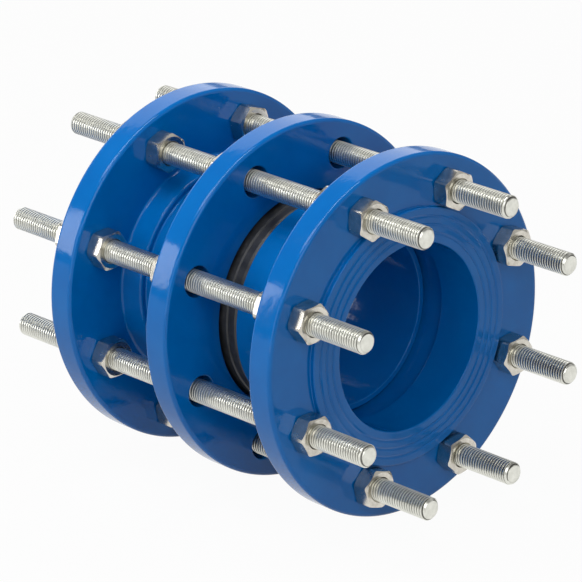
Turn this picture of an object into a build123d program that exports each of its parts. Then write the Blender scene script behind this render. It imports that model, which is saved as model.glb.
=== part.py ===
"""Flanged dismantling joint: a body casting, a sliding spigot casting and a loose
gland ring on eight tie rods, with a wedge gasket between them.

Frame: the pipe runs along X. The raised face of the body flange lies in x = 0 and
the joint extends toward -X. +Z is up and the bolt holes straddle the centre lines.
All lengths are millimetres.
"""

import os
from math import cos, degrees, pi, radians, sin, tan

from build123d import *

# ---------------------------------------------------------------- driving sizes

# pipe stub of the spigot: every ring and flange below is stepped out from it
pipe_outer_radius = 59.0
pipe_wall = 5.0
pipe_end_chamfer = 1.6

# tie rods and hexagon nuts
rod_radius = 7.0
rod_end_chamfer = 1.6
rod_right_overhang = 49.5
rod_left_overhang = 53.5
nut_across_flats = 22.0
nut_height = 11.0
nut_thread_clearance = 0.05
nut_countersink = 0.7
nut_chamfer_angle = 30.0
nut_face_ratio = 0.95

# flange drilling, shared by both flanges and the gland ring
raised_face_land = 19.0
nut_face_gap = 1.0
bolt_edge_distance = 20.0
bolt_hole_clearance = 2.5
bolt_count = 8
rim_thickness = 18.0
rim_edge_round = 2.4
hole_edge_break = 0.8

# raised sealing faces with concentric grooves
raised_face_height = 3.0
raised_face_edge = 0.8
groove_count = 3
groove_inner_margin = 5.7
groove_outer_margin = 5.4
groove_half_width = 1.1
groove_depth = 0.6

# body casting
body_length = 78.5
barrel_wall = 6.0
pipe_slide_clearance = 1.0
bore_lip_rise = 2.0
bore_lip_length = 31.0
bore_lip_taper = 2.0
flange_hub_round = 6.0
casting_edge = 1.2

# spigot casting
spigot_reach = 118.5
pipe_insertion = 32.0
neck_rise = 7.0
neck_flare = 3.0
neck_length = 14.5
neck_edge_round = 2.0
shoulder_rise = 3.3
shoulder_length = 8.0
shoulder_taper = 4.0

# socket bevel and gland cup that squeeze the gasket
socket_mouth_width = 4.6
socket_bevel_length = 12.0
gland_gap = 12.5
gland_cup_width = 8.0
gland_cup_depth = 11.0
gland_lip_clearance = 1.5
gland_cup_edge = 1.2

# wedge gasket, thickest at its heel in the gland cup
gasket_pipe_clearance = 0.3
gasket_heel_width = 6.0
gasket_waist_width = 5.2
gasket_neck_width = 3.6
gasket_waist_setback = 4.0
gasket_shoulder_setback = 3.3
gasket_nose_setback = 3.0
gasket_heel_edge = 0.8

# ------------------------------------------------------------- derived positions

raised_face_radius = pipe_outer_radius + raised_face_land
bolt_circle_radius = raised_face_radius + nut_face_gap + nut_across_flats / 2
flange_outer_radius = bolt_circle_radius + bolt_edge_distance
bolt_hole_radius = rod_radius + bolt_hole_clearance

body_rim_front_x = -raised_face_height
body_rim_back_x = body_rim_front_x - rim_thickness
body_bore_radius = pipe_outer_radius - bore_lip_rise
body_chamber_radius = pipe_outer_radius + pipe_slide_clearance
barrel_outer_radius = body_chamber_radius + barrel_wall
groove_first_radius = body_bore_radius + groove_inner_margin
groove_last_radius = raised_face_radius - groove_outer_margin
groove_pitch = (groove_last_radius - groove_first_radius) / (groove_count - 1)

pipe_bore_radius = pipe_outer_radius - pipe_wall
neck_outer_radius = pipe_outer_radius + neck_rise
neck_root_radius = neck_outer_radius + neck_flare
shoulder_radius = pipe_outer_radius + shoulder_rise
pipe_end_x = pipe_insertion - body_length
spigot_face_x = -body_length - spigot_reach
spigot_rim_outer_x = spigot_face_x + raised_face_height
spigot_rim_inner_x = spigot_rim_outer_x + rim_thickness
neck_end_x = spigot_rim_inner_x + neck_length
shoulder_end_x = neck_end_x + shoulder_length

gland_front_x = -body_length - gland_gap
gland_back_x = gland_front_x - rim_thickness
gland_cup_floor_x = gland_front_x - gland_cup_depth
gland_cup_radius = pipe_outer_radius + gland_cup_width
gland_lip_radius = pipe_outer_radius + gland_lip_clearance

socket_mouth_radius = pipe_outer_radius + socket_mouth_width
socket_bevel_end_x = -body_length + socket_bevel_length
socket_slope = (socket_mouth_radius - body_chamber_radius) / socket_bevel_length
gasket_inner_radius = pipe_outer_radius + gasket_pipe_clearance
gasket_heel_radius = pipe_outer_radius + gasket_heel_width
gasket_waist_radius = pipe_outer_radius + gasket_waist_width
gasket_neck_radius = pipe_outer_radius + gasket_neck_width
gasket_waist_x = gland_front_x + gasket_waist_setback
gasket_shoulder_x = -body_length - gasket_shoulder_setback
gasket_nose_x = socket_bevel_end_x - gasket_nose_setback
gasket_nose_radius = body_chamber_radius + gasket_nose_setback * socket_slope

rod_right_end_x = rod_right_overhang
rod_length = rod_right_overhang - spigot_face_x + rod_left_overhang
rod_centre_x = rod_right_end_x - rod_length / 2
nut_corner_radius = nut_across_flats / 2 / cos(pi / 6)

# where each ring of nuts bears, and the side of that face it sits on
nut_rows = {
    "body_outer_nut": (body_rim_front_x, 1),
    "body_inner_nut": (body_rim_back_x, -1),
    "gland_nut": (gland_back_x, -1),
    "spigot_inner_nut": (spigot_rim_inner_x, 1),
    "spigot_outer_nut": (spigot_rim_outer_x, -1),
}

# each nut stops at its own turn when it is run up to the face (degrees)
nut_turns = {
    "body_outer_nut": (4, -6, 2, 7, -3, 5, -8, 0),
    "body_inner_nut": (-5, 3, 8, -2, 6, -7, 1, 4),
    "gland_nut": (2, 7, -4, 5, -8, 0, 6, -3),
    "spigot_inner_nut": (-7, 4, 0, -5, 8, 3, -2, 6),
    "spigot_outer_nut": (6, -3, 5, 1, -6, 8, 0, -4),
}


# --------------------------------------------------------------------- helpers

def turned(points):
    """Solid of revolution about the pipe axis from (x, radius) points."""
    outline = Plane.XZ * make_face(Polyline(*points, close=True))
    return revolve(outline, Axis.X)


def bolt_angle(index):
    """Angle of one bolt hole, measured from +Y toward +Z, in radians."""
    return 2 * pi * (index + 0.5) / bolt_count


def bolt_centre(index):
    angle = bolt_angle(index)
    return bolt_circle_radius * cos(angle), bolt_circle_radius * sin(angle)


def along_x(x, y, z, turn=0.0):
    """Place a shape built along +Z so that it runs along +X from the given point."""
    return Pos(x, y, z) * Rot(turn, 0, 0) * Rot(0, 90, 0)


def drill(solid, x_low, x_high):
    """Cut the bolt holes between two flange faces, with broken edges."""
    for index in range(bolt_count):
        y, z = bolt_centre(index)
        length = x_high - x_low
        hole = Cylinder(bolt_hole_radius, length, align=(Align.CENTER, Align.CENTER, Align.MIN))
        mouth = Cone(
            bolt_hole_radius + hole_edge_break,
            bolt_hole_radius,
            hole_edge_break,
            align=(Align.CENTER, Align.CENTER, Align.MIN),
        )
        far_mouth = Pos(0, 0, length) * Rot(180, 0, 0) * mouth
        solid = solid - along_x(x_low, y, z) * (hole + mouth + far_mouth)
    return solid


def circle_edges(solid, radius, x=None):
    """Circular edges about the pipe axis with a given radius (and position)."""
    found = []
    for edge in solid.edges().filter_by(GeomType.CIRCLE):
        centre = edge.arc_center
        on_axis = abs(centre.Y) < 1e-3 and abs(centre.Z) < 1e-3
        at_x = x is None or abs(centre.X - x) < 1e-3
        if on_axis and at_x and abs(edge.radius - radius) < 1e-3:
            found.append(edge)
    return found


def cut_grooves(solid, face_x, outward):
    """Concentric V grooves in a raised face; outward is +1 or -1 along X."""
    for index in range(groove_count):
        radius = groove_first_radius + index * groove_pitch
        groove = turned([
            (face_x, radius - groove_half_width),
            (face_x, radius + groove_half_width),
            (face_x - outward * groove_depth, radius),
        ])
        solid = solid - groove
    return solid


# -------------------------------------------------------------------- castings

def make_body():
    lip_end_x = -bore_lip_length
    chamber_start_x = lip_end_x - bore_lip_taper
    solid = turned([
        (0, body_bore_radius),
        (0, raised_face_radius),
        (body_rim_front_x, raised_face_radius),
        (body_rim_front_x, flange_outer_radius),
        (body_rim_back_x, flange_outer_radius),
        (body_rim_back_x, barrel_outer_radius),
        (-body_length, barrel_outer_radius),
        (-body_length, socket_mouth_radius),
        (socket_bevel_end_x, body_chamber_radius),
        (chamber_start_x, body_chamber_radius),
        (lip_end_x, body_bore_radius),
    ])
    solid = fillet(circle_edges(solid, flange_outer_radius), rim_edge_round)
    solid = fillet(circle_edges(solid, barrel_outer_radius, body_rim_back_x), flange_hub_round)
    solid = fillet(circle_edges(solid, barrel_outer_radius, -body_length), casting_edge)
    solid = fillet(circle_edges(solid, body_bore_radius, 0), casting_edge)
    solid = fillet(circle_edges(solid, raised_face_radius, 0), raised_face_edge)
    solid = cut_grooves(solid, 0, 1)
    return drill(solid, body_rim_back_x, body_rim_front_x)


def make_spigot():
    solid = turned([
        (spigot_face_x, pipe_bore_radius),
        (spigot_face_x, raised_face_radius),
        (spigot_rim_outer_x, raised_face_radius),
        (spigot_rim_outer_x, flange_outer_radius),
        (spigot_rim_inner_x, flange_outer_radius),
        (spigot_rim_inner_x, neck_root_radius),
        (neck_end_x, neck_outer_radius),
        (neck_end_x, shoulder_radius),
        (shoulder_end_x, shoulder_radius),
        (shoulder_end_x + shoulder_taper, pipe_outer_radius),
        (pipe_end_x - pipe_end_chamfer, pipe_outer_radius),
        (pipe_end_x, pipe_outer_radius - pipe_end_chamfer),
        (pipe_end_x, pipe_bore_radius),
    ])
    solid = fillet(circle_edges(solid, flange_outer_radius), rim_edge_round)
    solid = fillet(circle_edges(solid, neck_outer_radius, neck_end_x), neck_edge_round)
    solid = fillet(circle_edges(solid, neck_root_radius, spigot_rim_inner_x), neck_edge_round)
    solid = fillet(circle_edges(solid, pipe_bore_radius), casting_edge)
    solid = fillet(circle_edges(solid, raised_face_radius, spigot_face_x), raised_face_edge)
    solid = cut_grooves(solid, spigot_face_x, -1)
    return drill(solid, spigot_rim_outer_x, spigot_rim_inner_x)


def make_gland_ring():
    solid = turned([
        (gland_front_x, gland_cup_radius),
        (gland_front_x, flange_outer_radius),
        (gland_back_x, flange_outer_radius),
        (gland_back_x, gland_lip_radius),
        (gland_cup_floor_x, gland_lip_radius),
        (gland_cup_floor_x, gland_cup_radius),
    ])
    solid = fillet(circle_edges(solid, flange_outer_radius), rim_edge_round)
    solid = fillet(circle_edges(solid, gland_cup_radius, gland_front_x), gland_cup_edge)
    solid = fillet(circle_edges(solid, gland_lip_radius, gland_back_x), gland_cup_edge)
    return drill(solid, gland_back_x, gland_front_x)


def make_gasket():
    neck_x = -body_length
    return turned([
        (gland_cup_floor_x, gasket_inner_radius),
        (gland_cup_floor_x, gasket_heel_radius),
        (gasket_waist_x - gasket_heel_edge, gasket_heel_radius),
        (gasket_waist_x, gasket_waist_radius),
        (gasket_shoulder_x, gasket_waist_radius),
        (neck_x, gasket_neck_radius),
        (neck_x + (socket_mouth_radius - gasket_neck_radius) / socket_slope, gasket_neck_radius),
        (gasket_nose_x, gasket_nose_radius),
        (gasket_nose_x, gasket_inner_radius),
    ])


# ------------------------------------------------------------------- fasteners

def make_rod():
    rod = Cylinder(rod_radius, rod_length)
    return chamfer(rod.edges().filter_by(GeomType.CIRCLE), rod_end_chamfer)


def make_nut():
    """Hexagon nut standing on z = 0, chamfered on both faces, flats facing +-X."""
    flat_radius = nut_across_flats / 2
    face_radius = flat_radius * nut_face_ratio
    corner_drop = (nut_corner_radius - face_radius) * tan(radians(nut_chamfer_angle))
    hexagon = RegularPolygon(flat_radius, 6, major_radius=False, rotation=30)
    blank = extrude(hexagon, nut_height)
    envelope = Plane.XZ * make_face(Polyline(
        (0, 0),
        (face_radius, 0),
        (nut_corner_radius, corner_drop),
        (nut_corner_radius, nut_height - corner_drop),
        (face_radius, nut_height),
        (0, nut_height),
        close=True,
    ))
    blank = blank & revolve(envelope, Axis.Z)
    bore_radius = rod_radius + nut_thread_clearance
    bore = Cylinder(bore_radius, nut_height, align=(Align.CENTER, Align.CENTER, Align.MIN))
    sink = Cone(
        bore_radius + nut_countersink,
        bore_radius,
        nut_countersink,
        align=(Align.CENTER, Align.CENTER, Align.MIN),
    )
    far_sink = Pos(0, 0, nut_height) * Rot(180, 0, 0) * sink
    return blank - bore - sink - far_sink


# ---------------------------------------------------------------------- output

def main():
    os.makedirs("parts", exist_ok=True)
    export_step(make_body(), "parts/body.step")
    export_step(make_spigot(), "parts/spigot.step")
    export_step(make_gland_ring(), "parts/gland_ring.step")
    export_step(make_gasket(), "parts/gasket.step")

    rod = make_rod()
    nut = make_nut()
    for index in range(bolt_count):
        y, z = bolt_centre(index)
        export_step(along_x(rod_centre_x, y, z) * rod, f"parts/tie_rod_{index + 1}.step")
        for row, (face_x, side) in nut_rows.items():
            base_x = min(face_x, face_x + side * nut_height)
            turn = degrees(bolt_angle(index)) - 90 + nut_turns[row][index]
            placed = along_x(base_x, y, z, turn) * nut
            export_step(placed, f"parts/{row}_{index + 1}.step")


main()
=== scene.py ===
"""Looks of a flanged dismantling joint: blue epoxy-coated castings, a wedge gasket,
threaded tie rods and hexagon nuts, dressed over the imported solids.

The pipe runs along X and +Z is up. Sizes below are millimetres until they are scaled.
"""

import math

import bmesh
import bpy
from mathutils import Matrix, Vector


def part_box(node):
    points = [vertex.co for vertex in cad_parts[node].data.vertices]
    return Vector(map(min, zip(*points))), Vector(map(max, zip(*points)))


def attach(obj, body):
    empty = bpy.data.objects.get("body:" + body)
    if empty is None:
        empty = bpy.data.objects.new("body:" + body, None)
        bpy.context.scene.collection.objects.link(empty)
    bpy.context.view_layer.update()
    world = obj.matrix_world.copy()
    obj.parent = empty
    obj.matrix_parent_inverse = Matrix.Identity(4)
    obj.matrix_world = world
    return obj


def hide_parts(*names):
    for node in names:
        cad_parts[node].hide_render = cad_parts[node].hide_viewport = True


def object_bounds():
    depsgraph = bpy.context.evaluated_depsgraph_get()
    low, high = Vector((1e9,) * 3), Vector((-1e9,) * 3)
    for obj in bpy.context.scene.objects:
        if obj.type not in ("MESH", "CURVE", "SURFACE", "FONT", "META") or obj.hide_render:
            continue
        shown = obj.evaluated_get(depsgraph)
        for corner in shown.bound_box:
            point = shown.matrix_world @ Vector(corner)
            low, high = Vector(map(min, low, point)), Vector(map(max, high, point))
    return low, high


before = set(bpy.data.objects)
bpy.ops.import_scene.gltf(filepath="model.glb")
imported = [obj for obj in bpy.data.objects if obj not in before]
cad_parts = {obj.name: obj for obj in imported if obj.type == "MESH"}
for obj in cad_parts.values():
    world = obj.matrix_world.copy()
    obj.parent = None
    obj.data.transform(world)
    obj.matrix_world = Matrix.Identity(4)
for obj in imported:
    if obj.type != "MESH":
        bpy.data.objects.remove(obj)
cad_low, cad_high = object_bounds()

MM = 0.001

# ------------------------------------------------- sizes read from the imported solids

rod_low, rod_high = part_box("tie_rod_1")
body_low, body_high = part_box("body")
spigot_low, spigot_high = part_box("spigot")
gland_low, gland_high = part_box("gland_ring")
gasket_low, gasket_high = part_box("gasket")
outer_nut_low, outer_nut_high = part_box("body_outer_nut_1")

FLANGE_RADIUS = body_high.y / MM
BODY_LENGTH = -body_low.x / MM
SPIGOT_FACE_X = spigot_low.x / MM
PIPE_END_X = spigot_high.x / MM
GLAND_FRONT_X = gland_high.x / MM
GLAND_BACK_X = gland_low.x / MM
GASKET_HEEL_X = gasket_low.x / MM
GASKET_NOSE_X = gasket_high.x / MM
GASKET_HEEL_RADIUS = gasket_high.y / MM
ROD_RADIUS = (rod_high.z - rod_low.z) / 2 / MM
ROD_START_X = rod_low.x / MM
ROD_LENGTH = (rod_high.x - rod_low.x) / MM
BOLT_CIRCLE_RADIUS = math.hypot(rod_low.y + rod_high.y, rod_low.z + rod_high.z) / 2 / MM
NUT_HEIGHT = (outer_nut_high.x - outer_nut_low.x) / MM
RIM_THICKNESS = GLAND_FRONT_X - GLAND_BACK_X
RAISED_FACE_HEIGHT = -outer_nut_low.x / MM    # the outer nuts stand on the rim's front

# --------------------------------------------- sizes stepped out from the ones above

BOLT_COUNT = 8
BOLT_HOLE_RADIUS = ROD_RADIUS + 2.5

# pipe stub of the spigot: the rings around it are stepped out from its outside
PIPE_RADIUS = GASKET_HEEL_RADIUS - 6.0
PIPE_BORE_RADIUS = PIPE_RADIUS - 5.0
PIPE_END_CHAMFER = 1.6

# body casting
BODY_BORE_RADIUS = PIPE_RADIUS - 2.0
CHAMBER_RADIUS = PIPE_RADIUS + 1.0
BARREL_RADIUS = CHAMBER_RADIUS + 6.0
LIP_LENGTH = 31.0
LIP_TAPER = 2.0
SOCKET_MOUTH_RADIUS = PIPE_RADIUS + 4.6
SOCKET_BEVEL = 12.0
SOCKET_SLOPE = (SOCKET_MOUTH_RADIUS - CHAMBER_RADIUS) / SOCKET_BEVEL

# raised faces
RAISED_FACE_RADIUS = PIPE_RADIUS + 19.0
FIRST_GROOVE_RADIUS = BODY_BORE_RADIUS + 5.7
LAST_GROOVE_RADIUS = RAISED_FACE_RADIUS - 5.4
GROOVE_RADII = (
    FIRST_GROOVE_RADIUS,
    (FIRST_GROOVE_RADIUS + LAST_GROOVE_RADIUS) / 2,
    LAST_GROOVE_RADIUS,
)
GROOVE_HALF_WIDTH = 1.1
GROOVE_DEPTH = 0.6

# neck of the spigot casting and the low shoulder in front of it
NECK_RADIUS = PIPE_RADIUS + 7.0
NECK_ROOT_RADIUS = NECK_RADIUS + 3.0
NECK_LENGTH = 14.5
SHOULDER_RADIUS = PIPE_RADIUS + 3.3
SHOULDER_LENGTH = 8.0
SHOULDER_TAPER = 4.0

# cup in the gland ring
CUP_RADIUS = PIPE_RADIUS + 8.0
CUP_DEPTH = 11.0
GLAND_LIP_RADIUS = PIPE_RADIUS + 1.5

# wedge gasket
GASKET_BORE_RADIUS = PIPE_RADIUS + 0.3
GASKET_WAIST_RADIUS = PIPE_RADIUS + 5.2
GASKET_NECK_RADIUS = PIPE_RADIUS + 3.6
GASKET_WAIST_X = GLAND_FRONT_X + 4.0
GASKET_STEP_LENGTH = 0.8
GASKET_SHOULDER_X = -BODY_LENGTH - 3.3

# rounds of the corners
RIM_EDGE_ROUND = 2.4
HOLE_EDGE_ROUND = 0.9
HUB_ROUND = 6.0
CASTING_EDGE = 1.2
INNER_EDGE = 0.6
RAISED_FACE_EDGE = 0.8
GROOVE_EDGE = 0.5
NECK_EDGE_ROUND = 2.0
SHOULDER_ROOT_ROUND = 1.0
SHOULDER_FOOT_ROUND = 1.5
PIPE_END_EDGE = 0.5
PIPE_MOUTH_EDGE = 0.8
CUP_FLOOR_ROUND = 0.8
GASKET_HEEL_EDGE = 0.5
GASKET_STEP_EDGE = 0.4
GASKET_WAIST_ROUND = 0.3
GASKET_SHOULDER_EDGE = 0.8
GASKET_NECK_ROUND = 0.4
GASKET_BEVEL_ROUND = 0.2

# tie rods
ROD_END_CHAMFER = 1.6
THREAD_PITCH = 2.0
THREAD_DEPTH = 1.0
THREAD_ROWS = 3             # crest start, crest end and root in every pitch
THREAD_CREST_SHARE = 0.4    # of a pitch, from crest start to crest end
THREAD_FLANK_SHARE = 0.3    # of a pitch, from crest end to root and from root to crest
THREAD_SIDES = 26
THREAD_SPARE_TURNS = 3      # the helix starts a pitch before the rod and ends past it
ROD_TURN_STEP = 2.4         # radians from one rod's thread start to the next rod's

# hexagon nuts
NUT_ACROSS_FLATS = 22.0
NUT_ACROSS_CORNERS = 24.7   # the forging blunts the corners by a third of a millimetre
NUT_FACE_DIAMETER = 0.95 * NUT_ACROSS_FLATS
NUT_BORE = 2 * (ROD_RADIUS + 0.05)
NUT_COUNTERSINK = 0.7
NUT_CHAMFER = math.radians(30)
NUT_SIDES = 72

# each nut stops at its own turn when it is run up to the face (degrees)
NUT_TURNS = {
    "body_outer_nut": (-9, -6, 2, -3, 6, 5, -8, 0),
    "body_inner_nut": (-5, 3, 8, -2, 6, -7, 1, 4),
    "gland_nut": (2, 7, -4, 5, -8, 0, 6, -3),
    "spigot_inner_nut": (-7, 4, 0, -5, 8, 3, -2, 6),
    "spigot_outer_nut": (6, -3, 5, 1, -6, 8, 0, -4),
}


# steps that a mesh is cut into
SECTOR_STEPS = 24           # around the pipe axis, in one bolt sector
SIDE_STEPS = 8              # along a sector's straight side between two bolt holes
MOUTH_STEPS = 4             # over the rounded mouth of a bolt hole
WELD = 0.004 * MM
SPECK = 0.002 * MM          # an edge shorter than this is dissolved


# --------------------------------------------------------------------------- helpers

def linear(hex_colour):
    """sRGB hex such as '#0050a0' as linear RGBA."""
    parts = [int(hex_colour[i:i + 2], 16) / 255 for i in (1, 3, 5)]
    return tuple(
        c / 12.92 if c <= 0.04045 else ((c + 0.055) / 1.055) ** 2.4 for c in parts
    ) + (1.0,)


def add(tree, kind, inputs=None, **settings):
    """Add one node with its settings; an input is a value or another node's output."""
    node = tree.nodes.new(kind)
    for name, value in settings.items():
        setattr(node, name, value)
    for key, value in (inputs or {}).items():
        if isinstance(value, bpy.types.NodeSocket):
            tree.links.new(value, node.inputs[key])
        else:
            node.inputs[key].default_value = value
    return node


def in_scene(name, data):
    """New object with the given data, linked to the scene."""
    thing = bpy.data.objects.new(name, data)
    bpy.context.scene.collection.objects.link(thing)
    return thing


def plain_mesh(thing):
    """Mesh of an object with its modifiers applied."""
    graph = bpy.context.evaluated_depsgraph_get()
    return bpy.data.meshes.new_from_object(thing.evaluated_get(graph))


def finished(grown, name, body, replaced, sharp_angle=32):
    """Turn an object with its modifiers into a plain mesh piece that rides on a body."""
    mesh = plain_mesh(grown)
    bpy.data.objects.remove(grown)
    shape = bmesh.new()
    shape.from_mesh(mesh)
    bmesh.ops.remove_doubles(shape, verts=shape.verts, dist=WELD)
    bmesh.ops.dissolve_degenerate(shape, edges=shape.edges, dist=SPECK)
    bmesh.ops.recalc_face_normals(shape, faces=shape.faces)
    shape.to_mesh(mesh)
    shape.free()
    mesh.shade_smooth()
    mesh.set_sharp_from_angle(angle=math.radians(sharp_angle))
    piece = in_scene(name, mesh)
    weighted = piece.modifiers.new("flat faces stay flat", "WEIGHTED_NORMAL")
    weighted.mode = "FACE_AREA"
    weighted.keep_sharp = True
    piece.data = plain_mesh(piece)
    piece.modifiers.clear()
    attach(piece, body)
    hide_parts(*replaced)


def numbered(*rows):
    """Names of the solids in rows of bolts: the row's name and a bolt's number."""
    return [f"{row}_{index + 1}" for row in rows for index in range(BOLT_COUNT)]


def bolt_angle(index):
    """Angle of a bolt from +Y toward +Z: the bolts straddle the centre lines."""
    return 2 * math.pi * (index + 0.5) / BOLT_COUNT


def new_tree(name, **inputs):
    """Geometry node tree with named inputs; an input is a socket type or a start value."""
    tree = bpy.data.node_groups.new(name, "GeometryNodeTree")
    kinds = {float: "NodeSocketFloat", int: "NodeSocketInt"}
    for key, value in inputs.items():
        label = key.replace("_", " ")
        if isinstance(value, str):
            tree.interface.new_socket(label, in_out="INPUT", socket_type=value)
        else:
            kind = kinds[type(value)]
            socket = tree.interface.new_socket(label, in_out="INPUT", socket_type=kind)
            socket.default_value = value
    tree.interface.new_socket("Geometry", in_out="OUTPUT", socket_type="NodeSocketGeometry")
    return tree


def grow(target, tree, **values):
    """Give an object a tree; a value's name has _ for the spaces in the input's name."""
    modifier = target.modifiers.new(tree.name, "NODES")
    modifier.node_group = tree
    for socket in tree.interface.items_tree:
        key = socket.name.replace(" ", "_")
        if socket.in_out == "INPUT" and key in values:
            modifier[socket.identifier] = values[key]


# ------------------------------------------------------------------------- materials

def new_material(name):
    """Empty material with nodes."""
    material = bpy.data.materials.new(name)
    material.use_nodes = True
    material.node_tree.nodes.clear()
    return material


def turning_marks(tree, place):
    """Height of the lathe's marks on the raised faces: rings about 1.8 mm apart, which is
    several feeds of the real tool, since the true 0.3 mm would be too fine to show."""
    spot = add(tree, "ShaderNodeSeparateXYZ", {"Vector": place}).outputs
    cross = add(tree, "ShaderNodeCombineXYZ", {1: spot["Y"], 2: spot["Z"]}).outputs[0]
    radius = add(tree, "ShaderNodeVectorMath", {0: cross}, operation="LENGTH")
    bearing = add(tree, "ShaderNodeMath", {0: spot["Y"], 1: spot["Z"]},
                  operation="ARCTAN2").outputs[0]
    # a ring's height drifts slowly on its way around, by 4 mm of pattern for each radian
    around = add(tree, "ShaderNodeMath", {0: bearing, 1: 4 * MM}, operation="MULTIPLY")
    path = add(tree, "ShaderNodeCombineXYZ",
               {0: radius.outputs["Value"], 1: around.outputs[0]}).outputs[0]
    rings = add(tree, "ShaderNodeTexNoise",
                {"Vector": path, "Scale": 1 / (1.8 * MM), "Detail": 2.0, "Roughness": 0.6})
    # only the two raised faces lie this far from the middle of the joint
    half_length = -SPIGOT_FACE_X / 2
    offset = add(tree, "ShaderNodeMath", {0: spot["X"], 1: half_length * MM}, operation="ADD")
    reach = add(tree, "ShaderNodeMath", {0: offset.outputs[0]}, operation="ABSOLUTE")
    faced = add(tree, "ShaderNodeMath",
                {0: reach.outputs[0], 1: (half_length - CASTING_EDGE) * MM},
                operation="GREATER_THAN")
    marks = add(tree, "ShaderNodeMath", {0: rings.outputs["Fac"], 1: faced.outputs[0]},
                operation="MULTIPLY")
    return marks.outputs[0]


def make_blue_epoxy():
    """Fusion-bonded epoxy powder on ductile iron: a deep glossy blue skin about 0.3 mm
    thick that flows over the casting, so it shows a soft orange peel in its gloss."""
    material = new_material("blue_fusion_bonded_epoxy")
    tree = material.node_tree
    place = add(tree, "ShaderNodeTexCoord").outputs["Object"]
    # cast skin under the paint: waves about 9 mm long
    swell = add(tree, "ShaderNodeTexNoise",
                {"Vector": place, "Scale": 1 / (9 * MM), "Detail": 2.0, "Roughness": 0.5})
    # orange peel: cells about 2.6 mm across
    peel = add(tree, "ShaderNodeTexNoise",
               {"Vector": place, "Scale": 1 / (2.6 * MM), "Detail": 2.0, "Roughness": 0.55})
    # the shade drifts over about 35 mm, where the powder lies thicker or thinner
    drift = add(tree, "ShaderNodeTexNoise",
                {"Vector": place, "Scale": 1 / (35 * MM), "Detail": 3.0, "Roughness": 0.6})
    cover = add(tree, "ShaderNodeMapRange",
                {"Value": drift.outputs["Fac"], "From Min": 0.3, "From Max": 0.7})
    shade = add(tree, "ShaderNodeMix",
                {"Factor": cover.outputs["Result"],
                 "A": linear("#0060ab"), "B": linear("#0068b4")}, data_type="RGBA")
    gloss = add(tree, "ShaderNodeMapRange",
                {"Value": peel.outputs["Fac"], "From Min": 0.35, "From Max": 0.65,
                 "To Min": 0.06, "To Max": 0.12})
    wave = add(tree, "ShaderNodeBump",
               {"Height": swell.outputs["Fac"], "Strength": 0.25, "Distance": 0.35 * MM})
    skin = add(tree, "ShaderNodeBump",
               {"Height": peel.outputs["Fac"], "Strength": 0.25, "Distance": 0.12 * MM,
                "Normal": wave.outputs["Normal"]})
    tooled = add(tree, "ShaderNodeBump",
                 {"Height": turning_marks(tree, place), "Strength": 0.5,
                  "Distance": 0.16 * MM, "Normal": skin.outputs["Normal"]})
    shader = add(tree, "ShaderNodeBsdfPrincipled",
                 {"Base Color": shade.outputs[2], "Roughness": gloss.outputs["Result"],
                  "IOR": 1.33, "Normal": tooled.outputs["Normal"]})
    add(tree, "ShaderNodeOutputMaterial", {"Surface": shader.outputs["BSDF"]})
    return material


def make_epdm():
    """Compression-moulded EPDM: near black and satin, with a faint grey bloom."""
    material = new_material("moulded_epdm_rubber")
    tree = material.node_tree
    place = add(tree, "ShaderNodeTexCoord").outputs["Object"]
    # bloom in patches about 6 mm wide
    bloom = add(tree, "ShaderNodeTexNoise",
                {"Vector": place, "Scale": 1 / (6 * MM), "Detail": 4.0, "Roughness": 0.6})
    # grain of the mould, about 0.8 mm
    grain = add(tree, "ShaderNodeTexNoise",
                {"Vector": place, "Scale": 1 / (0.8 * MM), "Detail": 2.0})
    cover = add(tree, "ShaderNodeMapRange",
                {"Value": bloom.outputs["Fac"], "From Min": 0.35, "From Max": 0.75})
    shade = add(tree, "ShaderNodeMix",
                {"Factor": cover.outputs["Result"],
                 "A": linear("#232426"), "B": linear("#3d3e40")}, data_type="RGBA")
    gloss = add(tree, "ShaderNodeMapRange",
                {"Value": bloom.outputs["Fac"], "From Min": 0.3, "From Max": 0.7,
                 "To Min": 0.38, "To Max": 0.52})
    skin = add(tree, "ShaderNodeBump",
               {"Height": grain.outputs["Fac"], "Strength": 0.3, "Distance": 0.08 * MM})
    shader = add(tree, "ShaderNodeBsdfPrincipled",
                 {"Base Color": shade.outputs[2], "Roughness": gloss.outputs["Result"],
                  "IOR": 1.52, "Normal": skin.outputs["Normal"]})
    add(tree, "ShaderNodeOutputMaterial", {"Surface": shader.outputs["BSDF"]})
    return material


def make_rod_steel():
    """Stainless steel with a rolled thread: bright crests, and dull roots darkened by painted
    shade of the thread's hollows and by a film of thread paste."""
    material = new_material("rolled_thread_stainless_steel")
    tree = material.node_tree
    place = add(tree, "ShaderNodeTexCoord").outputs["Object"]
    root = add(tree, "ShaderNodeAttribute", attribute_name="thread_root").outputs["Fac"]
    # the dies leave lighter and darker patches about 4 mm long
    patches = add(tree, "ShaderNodeTexNoise",
                  {"Vector": place, "Scale": 1 / (4 * MM), "Detail": 4.0, "Roughness": 0.65})
    polish = add(tree, "ShaderNodeMapRange",
                 {"Value": patches.outputs["Fac"], "From Min": 0.3, "From Max": 0.7})
    tone = add(tree, "ShaderNodeMix",
               {"Factor": polish.outputs["Result"],
                "A": linear("#d6d6cd"), "B": linear("#ecece3")}, data_type="RGBA")
    # the roots are darkened toward #696863: painted shade of the thread's hollows, and a film
    # of thread paste
    root_shade_and_paste = add(tree, "ShaderNodeMapRange", {"Value": root, "From Min": 0.3, "From Max": 0.6})
    colour = add(tree, "ShaderNodeMix",
                 {"Factor": root_shade_and_paste.outputs["Result"], "A": tone.outputs[2],
                  "B": linear("#696863")}, data_type="RGBA")
    gloss = add(tree, "ShaderNodeMapRange", {"Value": root, "To Min": 0.3, "To Max": 0.5})
    shader = add(tree, "ShaderNodeBsdfPrincipled",
                 {"Base Color": colour.outputs[2], "Metallic": 1.0,
                  "Roughness": gloss.outputs["Result"]})
    add(tree, "ShaderNodeOutputMaterial", {"Surface": shader.outputs["BSDF"]})
    return material


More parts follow.
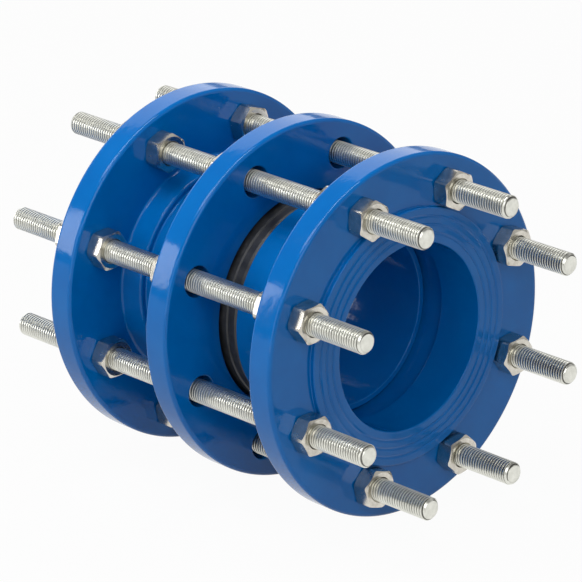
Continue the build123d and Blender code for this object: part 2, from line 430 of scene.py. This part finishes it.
def make_nut_steel():
    """Cold-forged stainless steel: smooth flats with soft edges and a faint warm cast."""
    material = new_material("cold_forged_stainless_steel")
    tree = material.node_tree
    place = add(tree, "ShaderNodeTexCoord").outputs["Object"]
    # the forging leaves clouds about 5 mm wide in the shine
    cloud = add(tree, "ShaderNodeTexNoise",
                {"Vector": place, "Scale": 1 / (5 * MM), "Detail": 4.0, "Roughness": 0.6})
    # scuffs of the spanner, about 1.2 mm
    scuff = add(tree, "ShaderNodeTexNoise",
                {"Vector": place, "Scale": 1 / (1.2 * MM), "Detail": 3.0, "Roughness": 0.6})
    polish = add(tree, "ShaderNodeMapRange",
                 {"Value": cloud.outputs["Fac"], "From Min": 0.3, "From Max": 0.7})
    tone = add(tree, "ShaderNodeMix",
               {"Factor": polish.outputs["Result"],
                "A": linear("#bfbab0"), "B": linear("#dedacf")}, data_type="RGBA")
    gloss = add(tree, "ShaderNodeMapRange",
                {"Value": polish.outputs["Result"], "To Min": 0.18, "To Max": 0.28})
    skin = add(tree, "ShaderNodeBump",
               {"Height": scuff.outputs["Fac"], "Strength": 0.1, "Distance": 0.03 * MM})
    shader = add(tree, "ShaderNodeBsdfPrincipled",
                 {"Base Color": tone.outputs[2], "Metallic": 1.0,
                  "Roughness": gloss.outputs["Result"], "Normal": skin.outputs["Normal"]})
    add(tree, "ShaderNodeOutputMaterial", {"Surface": shader.outputs["BSDF"]})
    return material


BLUE_EPOXY = make_blue_epoxy()
EPDM = make_epdm()
ROD_STEEL = make_rod_steel()
NUT_STEEL = make_nut_steel()


# ------------------------------------------------------------------- turned profiles

DRILLED = "drilled"    # last item of a corner after which the face has bolt holes


def rounded_outline(corners, arc_steps):
    """Closed outline from (x, radius, round) corners, each with a round made an arc.

    Returns the points and the set of point indices whose following edge is drilled."""
    points, drilled = [], set()
    for index, (x, radius, edge_round, *marks) in enumerate(corners):
        here = Vector((x, radius))
        before = Vector(corners[index - 1][:2])
        after = Vector(corners[(index + 1) % len(corners)][:2])
        if edge_round:
            back = (before - here).normalized()
            ahead = (after - here).normalized()
            half = back.angle(ahead) / 2
            reach = edge_round / math.tan(half)
            middle = here + (back + ahead).normalized() * edge_round / math.sin(half)
            first = here + back * reach - middle
            last = here + ahead * reach - middle
            sweep = first.angle(last)
            for step in range(arc_steps + 1):
                share = step / arc_steps
                spoke = (first * math.sin((1 - share) * sweep)
                         + last * math.sin(share * sweep)) / math.sin(sweep)
                points.append(tuple(middle + spoke))
        else:
            points.append((x, radius))
        if DRILLED in marks:
            drilled.add(len(points) - 1)
    return points, drilled


def drilled_face(shape, inner_ring, outer_ring, face_x, into):
    """Flat ring face of one sector with its bolt hole's rounded mouth.

    Returns the ring of vertices at the bottom of the mouth."""
    def side(start, end):
        corners = [start]
        for step in range(1, SIDE_STEPS):
            corners.append(shape.verts.new(start.co.lerp(end.co, step / SIDE_STEPS)))
        return corners

    border = list(inner_ring[:-1])
    border += side(inner_ring[-1], outer_ring[-1])
    border += list(reversed(outer_ring[1:]))
    border += side(outer_ring[0], inner_ring[0])
    middle = bolt_angle(0)
    spoke = Vector((0, math.cos(middle), math.sin(middle)))
    across = Vector((0, -math.sin(middle), math.cos(middle)))
    centre = Vector((face_x, 0, 0)) * MM + spoke * BOLT_CIRCLE_RADIUS * MM
    share = 2 * math.pi / len(border)
    first_angle = math.pi + SECTOR_STEPS / 2 * share
    last_ring = border
    for step in range(MOUTH_STEPS + 1):
        bend = step / MOUTH_STEPS * math.pi / 2
        radius = (BOLT_HOLE_RADIUS + HOLE_EDGE_ROUND * (1 - math.sin(bend))) * MM
        depth = HOLE_EDGE_ROUND * (1 - math.cos(bend)) * MM
        ring = []
        for index in range(len(border)):
            angle = first_angle - index * share
            out = spoke * math.cos(angle) + across * math.sin(angle)
            ring.append(shape.verts.new(centre + out * radius + Vector((into * depth, 0, 0))))
        for index in range(len(border)):
            following = (index + 1) % len(border)
            shape.faces.new(
                (last_ring[index], last_ring[following], ring[following], ring[index]))
        last_ring = ring
    return last_ring


def sector_mesh(name, corners, arc_steps):
    """One bolt sector of a turned ring, drilled where its outline says so."""
    points, drilled = rounded_outline(corners, arc_steps)
    shape = bmesh.new()
    rings = []
    for x, radius in points:
        ring = []
        for step in range(SECTOR_STEPS + 1):
            angle = 2 * math.pi / BOLT_COUNT * step / SECTOR_STEPS
            y, z = radius * math.cos(angle), radius * math.sin(angle)
            ring.append(shape.verts.new(Vector((x, y, z)) * MM))
        rings.append(ring)
    flats = []
    for index, (x, radius) in enumerate(points):
        following = (index + 1) % len(points)
        here, there = rings[index], rings[following]
        if index in drilled:
            inner, outer = (here, there) if radius < points[following][1] else (there, here)
            flats.append((x, inner, outer))
            continue
        for step in range(SECTOR_STEPS):
            shape.faces.new((here[step], here[step + 1], there[step + 1], there[step]))
    if flats:
        (back_x, *back_rings), (front_x, *front_rings) = sorted(flats, key=lambda flat: flat[0])
        back = drilled_face(shape, *back_rings, back_x, 1)
        front = drilled_face(shape, *front_rings, front_x, -1)
        for index in range(len(back)):
            following = (index + 1) % len(back)
            shape.faces.new((back[index], back[following], front[following], front[index]))
    mesh = bpy.data.meshes.new(name)
    shape.to_mesh(mesh)
    shape.free()
    return mesh


def repeat_around_pipe():
    """Node tree: turn copies of one bolt sector about the pipe axis and weld them."""
    tree = new_tree("repeat_around_pipe", Sector="NodeSocketGeometry", Bolt_count=8,
                    Weld_distance=1.0, Finish="NodeSocketMaterial")
    given = add(tree, "NodeGroupInput").outputs
    points = add(tree, "GeometryNodeMeshLine",
                 {"Count": given["Bolt count"], "Offset": (0.0, 0.0, 0.0)})
    index = add(tree, "GeometryNodeInputIndex").outputs["Index"]
    step = add(tree, "ShaderNodeMath", {0: 2 * math.pi, 1: given["Bolt count"]},
               operation="DIVIDE").outputs[0]
    turn = add(tree, "ShaderNodeMath", {0: index, 1: step}, operation="MULTIPLY").outputs[0]
    rotation = add(tree, "ShaderNodeCombineXYZ", {"X": turn}).outputs[0]
    copies = add(tree, "GeometryNodeInstanceOnPoints",
                 {"Points": points.outputs["Mesh"], "Instance": given["Sector"],
                  "Rotation": rotation})
    real = add(tree, "GeometryNodeRealizeInstances", {"Geometry": copies.outputs["Instances"]})
    welded = add(tree, "GeometryNodeMergeByDistance",
                 {"Geometry": real.outputs["Geometry"], "Distance": given["Weld distance"]})
    painted = add(tree, "GeometryNodeSetMaterial",
                  {"Geometry": welded.outputs["Geometry"], "Material": given["Finish"]})
    add(tree, "NodeGroupOutput", {"Geometry": painted.outputs["Geometry"]})
    return tree


sector_ring = repeat_around_pipe()


def make_turned(name, node, body, finish, corners, arc_steps=8):
    """Ring turned about the pipe axis: its bolt sector, repeated around the pipe."""
    sector = in_scene(name + "_sector", sector_mesh(name, corners, arc_steps))
    grow(sector, sector_ring, Bolt_count=BOLT_COUNT, Weld_distance=WELD, Finish=finish)
    finished(sector, name, body, [node])


def grooves(face_x, outward):
    """Corners of a raised face's concentric grooves, from the bore outwards."""
    corners = []
    for radius in GROOVE_RADII:
        corners.append((face_x, radius - GROOVE_HALF_WIDTH, GROOVE_EDGE))
        corners.append((face_x - outward * GROOVE_DEPTH, radius, GROOVE_EDGE))
        corners.append((face_x, radius + GROOVE_HALF_WIDTH, GROOVE_EDGE))
    return corners


# -------------------------------------------------------------------------- castings

rim_front = -RAISED_FACE_HEIGHT
rim_back = rim_front - RIM_THICKNESS
bevel_end = -BODY_LENGTH + SOCKET_BEVEL
make_turned("body_casting", "body", "body", BLUE_EPOXY, [
    (0, BODY_BORE_RADIUS, CASTING_EDGE),
    *grooves(0, 1),
    (0, RAISED_FACE_RADIUS, RAISED_FACE_EDGE),
    (rim_front, RAISED_FACE_RADIUS, INNER_EDGE, DRILLED),
    (rim_front, FLANGE_RADIUS, RIM_EDGE_ROUND),
    (rim_back, FLANGE_RADIUS, RIM_EDGE_ROUND, DRILLED),
    (rim_back, BARREL_RADIUS, HUB_ROUND),
    (-BODY_LENGTH, BARREL_RADIUS, CASTING_EDGE),
    (-BODY_LENGTH, SOCKET_MOUTH_RADIUS, INNER_EDGE),
    (bevel_end, CHAMBER_RADIUS, INNER_EDGE),
    (-LIP_LENGTH - LIP_TAPER, CHAMBER_RADIUS, INNER_EDGE),
    (-LIP_LENGTH, BODY_BORE_RADIUS, INNER_EDGE),
])

spigot_rim_outer = SPIGOT_FACE_X + RAISED_FACE_HEIGHT
spigot_rim_inner = spigot_rim_outer + RIM_THICKNESS
neck_end = spigot_rim_inner + NECK_LENGTH
shoulder_end = neck_end + SHOULDER_LENGTH
make_turned("spigot_casting", "spigot", "spigot", BLUE_EPOXY, [
    (SPIGOT_FACE_X, PIPE_BORE_RADIUS, CASTING_EDGE),
    *grooves(SPIGOT_FACE_X, -1),
    (SPIGOT_FACE_X, RAISED_FACE_RADIUS, RAISED_FACE_EDGE),
    (spigot_rim_outer, RAISED_FACE_RADIUS, INNER_EDGE, DRILLED),
    (spigot_rim_outer, FLANGE_RADIUS, RIM_EDGE_ROUND),
    (spigot_rim_inner, FLANGE_RADIUS, RIM_EDGE_ROUND, DRILLED),
    (spigot_rim_inner, NECK_ROOT_RADIUS, NECK_EDGE_ROUND),
    (neck_end, NECK_RADIUS, NECK_EDGE_ROUND),
    (neck_end, SHOULDER_RADIUS, SHOULDER_ROOT_ROUND),
    (shoulder_end, SHOULDER_RADIUS, CASTING_EDGE),
    (shoulder_end + SHOULDER_TAPER, PIPE_RADIUS, SHOULDER_FOOT_ROUND),
    (PIPE_END_X - PIPE_END_CHAMFER, PIPE_RADIUS, PIPE_END_EDGE),
    (PIPE_END_X, PIPE_RADIUS - PIPE_END_CHAMFER, PIPE_END_EDGE),
    (PIPE_END_X, PIPE_BORE_RADIUS, PIPE_MOUTH_EDGE),
])

cup_floor = GLAND_FRONT_X - CUP_DEPTH
make_turned("gland_ring_casting", "gland_ring", "gland", BLUE_EPOXY, [
    (GLAND_FRONT_X, CUP_RADIUS, CASTING_EDGE, DRILLED),
    (GLAND_FRONT_X, FLANGE_RADIUS, RIM_EDGE_ROUND),
    (GLAND_BACK_X, FLANGE_RADIUS, RIM_EDGE_ROUND, DRILLED),
    (GLAND_BACK_X, GLAND_LIP_RADIUS, CASTING_EDGE),
    (cup_floor, GLAND_LIP_RADIUS, INNER_EDGE),
    (cup_floor, CUP_RADIUS, CUP_FLOOR_ROUND),
])

# ---------------------------------------------------------------------------- gasket

neck_reach = (SOCKET_MOUTH_RADIUS - GASKET_NECK_RADIUS) / SOCKET_SLOPE
nose_radius = CHAMBER_RADIUS + (bevel_end - GASKET_NOSE_X) * SOCKET_SLOPE
make_turned("gasket_moulding", "gasket", "body", EPDM, [
    (GASKET_HEEL_X, GASKET_BORE_RADIUS, GASKET_HEEL_EDGE),
    (GASKET_HEEL_X, GASKET_HEEL_RADIUS, GASKET_HEEL_EDGE),
    (GASKET_WAIST_X - GASKET_STEP_LENGTH, GASKET_HEEL_RADIUS, GASKET_STEP_EDGE),
    (GASKET_WAIST_X, GASKET_WAIST_RADIUS, GASKET_WAIST_ROUND),
    (GASKET_SHOULDER_X, GASKET_WAIST_RADIUS, GASKET_SHOULDER_EDGE),
    (-BODY_LENGTH, GASKET_NECK_RADIUS, GASKET_NECK_ROUND),
    (-BODY_LENGTH + neck_reach, GASKET_NECK_RADIUS, GASKET_BEVEL_ROUND),
    (GASKET_NOSE_X, nose_radius, 0),
    (GASKET_NOSE_X, GASKET_BORE_RADIUS, 0),
], arc_steps=4)


# ------------------------------------------------------------------------- fasteners
#
# A fastener is a grid wound around +X. Each step below works out one size of a vertex:
# its name, a math operation, and the values, which are numbers or sizes by name.

# row and column of a vertex, and its angle, from its index
GRID_STEPS = (
    ("columns", "ADD", "Sides", 1),
    ("vertex", "ADD", "Index", 0.5),
    ("row share", "DIVIDE", "vertex", "columns"),
    ("row", "FLOOR", "row share"),
    ("row start", "MULTIPLY", "row", "columns"),
    ("column", "SUBTRACT", "Index", "row start"),
    ("share", "DIVIDE", "column", "Sides"),
    ("angle", "MULTIPLY", "share", 2 * math.pi),
)

# place of a vertex across the axis, from its radius and angle
ROUND_STEPS = (
    ("cosine", "COSINE", "angle"),
    ("sine", "SINE", "angle"),
    ("y", "MULTIPLY", "radius", "cosine"),
    ("z", "MULTIPLY", "radius", "sine"),
)

# a helix of crests and roots that stops at the two ends and keeps under their chamfers
THREAD_STEPS = (
    ("rows", "MULTIPLY", "Turns", THREAD_ROWS),
    ("row middle", "ADD", "row", 0.5),
    ("turn share", "DIVIDE", "row middle", THREAD_ROWS),
    ("turn", "FLOOR", "turn share"),
    ("turn start", "MULTIPLY", "turn", THREAD_ROWS),
    ("phase", "SUBTRACT", "row", "turn start"),
    ("past crest", "GREATER_THAN", "phase", 0.5),
    ("is root", "GREATER_THAN", "phase", 1.5),
    ("crest lead", "MULTIPLY", "past crest", "Crest share"),
    ("flank lead", "MULTIPLY", "is root", "Flank share"),
    ("phase lead", "ADD", "crest lead", "flank lead"),
    ("turn lead", "ADD", "turn", "phase lead"),
    ("lead", "ADD", "turn lead", "share"),
    ("pitches", "SUBTRACT", "lead", 1),
    ("free x", "MULTIPLY", "pitches", "Pitch"),
    ("started x", "MAXIMUM", "free x", 0),
    ("x", "MINIMUM", "started x", "Length"),
    ("relief", "MULTIPLY", "is root", "Thread depth"),
    ("thread radius", "SUBTRACT", "Radius", "relief"),
    ("end radius", "SUBTRACT", "Radius", "End chamfer"),
    ("to far end", "SUBTRACT", "Length", "x"),
    ("to end", "MINIMUM", "x", "to far end"),
    ("chamfer radius", "ADD", "end radius", "to end"),
    ("radius", "MINIMUM", "thread radius", "chamfer radius"),
)

# rings 0 to 3 run from the bore's countersink over the face to a side, rings 4 to 7
# mirror them on the far face, and ring 8 closes on ring 0
NUT_RINGS = 8
NUT_STEPS = (
    ("ring", "MODULO", "row", NUT_RINGS),
    ("far ring", "SUBTRACT", NUT_RINGS - 1, "ring"),
    ("step", "MINIMUM", "ring", "far ring"),
    ("is far", "GREATER_THAN", "ring", 3.5),
    ("on face", "GREATER_THAN", "step", 0.5),
    ("past bore", "GREATER_THAN", "step", 1.5),
    ("on side", "GREATER_THAN", "step", 2.5),
    ("in bore", "SUBTRACT", 1, "on face"),
    ("from flat", "WRAP", "angle", math.pi / 6, -math.pi / 6),
    ("flat cosine", "COSINE", "from flat"),
    ("flat", "MULTIPLY", "Across flats", 0.5),
    ("sharp side", "DIVIDE", "flat", "flat cosine"),
    ("corner", "MULTIPLY", "Across corners", 0.5),
    ("side", "MINIMUM", "sharp side", "corner"),
    ("face", "MULTIPLY", "Face diameter", 0.5),
    ("side rise", "SUBTRACT", "side", "face"),
    ("chamfer slope", "TANGENT", "Chamfer angle"),
    ("drop", "MULTIPLY", "side rise", "chamfer slope"),
    ("side drop", "MULTIPLY", "drop", "on side"),
    ("sunk", "MULTIPLY", "Countersink", "in bore"),
    ("depth", "ADD", "side drop", "sunk"),
    ("both depths", "MULTIPLY", "depth", 2),
    ("far shift", "SUBTRACT", "Height", "both depths"),
    ("shift", "MULTIPLY", "far shift", "is far"),
    ("x", "ADD", "depth", "shift"),
    ("bore", "MULTIPLY", "Bore", 0.5),
    ("mouth rise", "MULTIPLY", "Countersink", "on face"),
    ("mouth", "ADD", "bore", "mouth rise"),
    ("open mouth", "ADD", "bore", "Countersink"),
    ("face width", "SUBTRACT", "face", "open mouth"),
    ("face rise", "MULTIPLY", "face width", "past bore"),
    ("face edge", "ADD", "mouth", "face rise"),
    ("corner rise", "MULTIPLY", "side rise", "on side"),
    ("radius", "ADD", "face edge", "corner rise"),
)


def work_out(tree, given, steps):
    """Every size by name: the tree's inputs, a vertex's index, and what the steps give."""
    known = {socket.name: socket for socket in given}
    known["Index"] = add(tree, "GeometryNodeInputIndex").outputs["Index"]
    for name, operation, *values in (*GRID_STEPS, *steps, *ROUND_STEPS):
        inputs = {slot: known.get(value, value) for slot, value in enumerate(values)}
        known[name] = add(tree, "ShaderNodeMath", inputs, operation=operation).outputs[0]
    return known


def wound_grid(tree, known, rows):
    """Grid of rows along the fastener, each vertex at the place worked out for it."""
    grid = add(tree, "GeometryNodeMeshGrid",
               {"Vertices X": rows, "Vertices Y": known["columns"]})
    spot = add(tree, "ShaderNodeCombineXYZ", {0: known["x"], 1: known["y"], 2: known["z"]})
    wound = add(tree, "GeometryNodeSetPosition",
                {"Geometry": grid.outputs["Mesh"], "Position": spot.outputs[0]})
    return wound.outputs["Geometry"]


def stand_on_places(tree, given, geometry):
    """Tail of a fastener's tree: weld it, stand copies on the places, give the finish."""
    welded = add(tree, "GeometryNodeMergeByDistance", {"Geometry": geometry, "Distance": WELD})
    turn = add(tree, "GeometryNodeInputNamedAttribute", {"Name": "turn"}, data_type="FLOAT")
    rotation = add(tree, "ShaderNodeCombineXYZ", {"X": turn.outputs["Attribute"]}).outputs[0]
    spots = add(tree, "GeometryNodeMeshToPoints", {"Mesh": given["Places"]})
    copies = add(tree, "GeometryNodeInstanceOnPoints",
                 {"Points": spots.outputs["Points"], "Instance": welded.outputs["Geometry"],
                  "Rotation": rotation})
    real = add(tree, "GeometryNodeRealizeInstances", {"Geometry": copies.outputs["Instances"]})
    finish = add(tree, "GeometryNodeSetMaterial",
                 {"Geometry": real.outputs["Geometry"], "Material": given["Finish"]})
    add(tree, "NodeGroupOutput", {"Geometry": finish.outputs["Geometry"]})


def threaded_rod_tree():
    """Node tree: a bar along +X with a rolled thread and a flat disc in each end, stood
    on the given places, each at its own turn."""
    tree = new_tree("threaded_rod", Places="NodeSocketGeometry", Length=1.0, Radius=1.0,
                    Pitch=1.0, Thread_depth=1.0, End_chamfer=1.0, Crest_share=0.5,
                    Flank_share=0.25, Sides=24, Turns=100, Finish="NodeSocketMaterial")
    given = add(tree, "NodeGroupInput").outputs
    known = work_out(tree, given, THREAD_STEPS)
    marked = add(tree, "GeometryNodeStoreNamedAttribute",
                 {"Geometry": wound_grid(tree, known, known["rows"]),
                  "Name": "thread_root", "Value": known["is root"]},
                 data_type="FLOAT", domain="POINT")
    disc = add(tree, "GeometryNodeMeshCircle",
               {"Vertices": given["Sides"], "Radius": known["end radius"]},
               fill_type="TRIANGLE_FAN")
    rim = add(tree, "ShaderNodeSeparateXYZ",
              {"Vector": add(tree, "GeometryNodeInputPosition").outputs["Position"]}).outputs
    joined = add(tree, "GeometryNodeJoinGeometry")
    tree.links.new(marked.outputs["Geometry"], joined.inputs["Geometry"])
    for end_x in (0.0, given["Length"]):
        stood = add(tree, "ShaderNodeCombineXYZ", {0: end_x, 1: rim["X"], 2: rim["Y"]})
        end = add(tree, "GeometryNodeSetPosition",
                  {"Geometry": disc.outputs["Mesh"], "Position": stood.outputs[0]})
        tree.links.new(end.outputs["Geometry"], joined.inputs["Geometry"])
    stand_on_places(tree, given, joined.outputs["Geometry"])
    return tree


def hexagon_nut_tree():
    """Node tree: a chamfered hexagon nut along +X, its first flat facing +Y, stood on
    the given places, each at its own turn."""
    tree = new_tree("hexagon_nut", Places="NodeSocketGeometry", Height=1.0,
                    Across_flats=1.0, Across_corners=1.0, Face_diameter=1.0,
                    Chamfer_angle=0.5, Bore=1.0, Countersink=1.0, Sides=72,
                    Finish="NodeSocketMaterial")
    given = add(tree, "NodeGroupInput").outputs
    known = work_out(tree, given, NUT_STEPS)
    stand_on_places(tree, given, wound_grid(tree, known, NUT_RINGS + 1))
    return tree


def places(name, spots, turns):
    """Points, each with the turn about X of what stands on it."""
    mesh = bpy.data.meshes.new(name)
    mesh.from_pydata([Vector(spot) * MM for spot in spots], [], [])
    mesh.attributes.new("turn", "FLOAT", "POINT").data.foreach_set("value", turns)
    return in_scene(name, mesh)


def on_bolt_circle(x, index):
    """Place of a bolt's axis at a distance along the pipe."""
    angle = bolt_angle(index)
    return x, BOLT_CIRCLE_RADIUS * math.cos(angle), BOLT_CIRCLE_RADIUS * math.sin(angle)


rods = places(
    "rod_places",
    [on_bolt_circle(ROD_START_X, index) for index in range(BOLT_COUNT)],
    [ROD_TURN_STEP * index for index in range(BOLT_COUNT)],
)
grow(rods, threaded_rod_tree(), Length=ROD_LENGTH * MM, Radius=ROD_RADIUS * MM,
     Pitch=THREAD_PITCH * MM, Thread_depth=THREAD_DEPTH * MM,
     End_chamfer=ROD_END_CHAMFER * MM, Sides=THREAD_SIDES,
     Crest_share=THREAD_CREST_SHARE, Flank_share=THREAD_FLANK_SHARE,
     Turns=math.ceil(ROD_LENGTH / THREAD_PITCH) + THREAD_SPARE_TURNS, Finish=ROD_STEEL)
finished(rods, "tie_rods", "body", numbered("tie_rod"))

nut_tree = hexagon_nut_tree()
for body, rows in (
    ("body", ("body_outer_nut", "body_inner_nut")),
    ("gland", ("gland_nut",)),
    ("spigot", ("spigot_inner_nut", "spigot_outer_nut")),
):
    spots, turns = [], []
    for row in rows:
        seat_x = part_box(row + "_1")[0].x / MM
        for index in range(BOLT_COUNT):
            spots.append(on_bolt_circle(seat_x, index))
            turns.append(bolt_angle(index) + math.radians(NUT_TURNS[row][index]))
    nuts = places(body + "_nut_places", spots, turns)
    grow(nuts, nut_tree, Height=NUT_HEIGHT * MM, Across_flats=NUT_ACROSS_FLATS * MM,
         Across_corners=NUT_ACROSS_CORNERS * MM, Face_diameter=NUT_FACE_DIAMETER * MM,
         Chamfer_angle=NUT_CHAMFER, Bore=NUT_BORE * MM,
         Countersink=NUT_COUNTERSINK * MM, Sides=NUT_SIDES, Finish=NUT_STEEL)
    finished(nuts, body + "_nuts", body, numbered(*rows), sharp_angle=16)


# ------------------------------------------------------------------------ the studio

FLOOR_REACH = 30.0          # metres from the middle to each side
FLOOR_GAP = 0.0005          # metres under the flanges
FLOOR_GLOW_SHARE = 0.96     # of the floor as it is seen; the rest is paint with the shadow
ROOM_LIGHT = 0.22           # strength of the even light from all around

middle = (cad_low + cad_high) / 2


def make_floor():
    """Plain pale floor just under the flanges that keeps a soft shadow."""
    material = new_material("pale_studio_floor")
    tree = material.node_tree
    paths = add(tree, "ShaderNodeLightPath").outputs
    seen = add(tree, "ShaderNodeMath",
               {0: paths["Is Camera Ray"], 1: paths["Is Glossy Ray"]}, operation="MAXIMUM")
    seen = add(tree, "ShaderNodeMath",
               {0: seen.outputs[0], 1: paths["Is Transmission Ray"]}, operation="MAXIMUM")
    share = add(tree, "ShaderNodeMath", {0: seen.outputs[0], 1: FLOOR_GLOW_SHARE},
                operation="MULTIPLY")
    paint = add(tree, "ShaderNodeBsdfDiffuse", {"Color": linear("#b4b4b4")})
    glow = add(tree, "ShaderNodeEmission", {"Color": linear("#ffffff"), "Strength": 1.0})
    mixed = add(tree, "ShaderNodeMixShader",
                {0: share.outputs[0], 1: paint.outputs[0], 2: glow.outputs[0]})
    add(tree, "ShaderNodeOutputMaterial", {"Surface": mixed.outputs[0]})
    height = cad_low.z - FLOOR_GAP
    mesh = bpy.data.meshes.new("studio_floor")
    mesh.from_pydata(
        [(-FLOOR_REACH, -FLOOR_REACH, height), (FLOOR_REACH, -FLOOR_REACH, height),
         (FLOOR_REACH, FLOOR_REACH, height), (-FLOOR_REACH, FLOOR_REACH, height)],
        [], [(0, 1, 2, 3)])
    mesh.materials.append(material)
    in_scene("studio_floor", mesh)


def make_softbox(name, toward, distance, width, height, watts):
    """Rectangular lamp in a direction from the middle of the joint, turned to face it."""
    lamp = bpy.data.lights.new(name, "AREA")
    lamp.shape = "RECTANGLE"
    lamp.size = width
    lamp.size_y = height
    lamp.energy = watts
    holder = in_scene(name, lamp)
    direction = Vector(toward).normalized()
    holder.location = middle + direction * distance
    holder.rotation_euler = direction.to_track_quat("Z", "Y").to_euler()
    holder.visible_camera = False


make_floor()

# name, direction from the joint, distance, width and height in metres, watts
for softbox in (
    ("overhead_softbox", (0.0, -0.2, 0.95), 1.6, 0.28, 1.3, 15.0),
    ("left_overhead_softbox", (-0.42, -0.43, 0.8), 1.6, 0.45, 0.45, 5.0),
    ("left_strip_softbox", (-0.708, -0.66, 0.25), 3.0, 0.42, 1.0, 7.5),
    ("side_softbox", (0.1, -0.95, 0.12), 2.0, 1.5, 1.5, 11.0),
    ("front_softbox", (0.72, -0.45, 0.52), 3.0, 1.8, 1.8, 26.0),
    ("front_right_panel", (0.7, 0.65, 0.3), 2.6, 3.0, 2.4, 8.0),
    ("backdrop_light", (-0.84, 0.28, 0.44), 3.0, 4.0, 1.9, 33.0),
):
    make_softbox(*softbox)

world = bpy.data.worlds.new("soft_grey_room")
world.use_nodes = True
world.node_tree.nodes.clear()
room = add(world.node_tree, "ShaderNodeBackground",
           {"Color": linear("#ffffff"), "Strength": ROOM_LIGHT})
add(world.node_tree, "ShaderNodeOutputWorld", {"Surface": room.outputs[0]})
bpy.context.scene.world = world

# ------------------------------------------------------------------------ the camera

CAMERA_AZIMUTH = 42.96      # degrees from +X toward -Y
CAMERA_ELEVATION = 21.24    # degrees
CAMERA_ROLL = -1.59         # degrees
CAMERA_DISTANCE = 2.471     # metres from the aim
CAMERA_LENS = 255.6         # millimetres on a 36 mm sensor
CAMERA_AIM = middle + Vector((-0.0008, 0.0004, 0.0021))    # metres

lens = bpy.data.cameras.new("camera")
lens.lens = CAMERA_LENS
lens.sensor_width = 36.0
lens.clip_end = 50.0
camera = in_scene("camera", lens)
azimuth, elevation = math.radians(CAMERA_AZIMUTH), math.radians(CAMERA_ELEVATION)
outward = Vector((
    math.cos(elevation) * math.cos(azimuth),
    -math.cos(elevation) * math.sin(azimuth),
    math.sin(elevation),
))
camera.location = CAMERA_AIM + outward * CAMERA_DISTANCE
level = outward.to_track_quat("Z", "Y").to_matrix()
rolled = level @ Matrix.Rotation(math.radians(CAMERA_ROLL), 3, "Z")
camera.rotation_euler = rolled.to_euler()
bpy.context.scene.camera = camera
bpy.context.scene.view_settings.view_transform = "Standard"
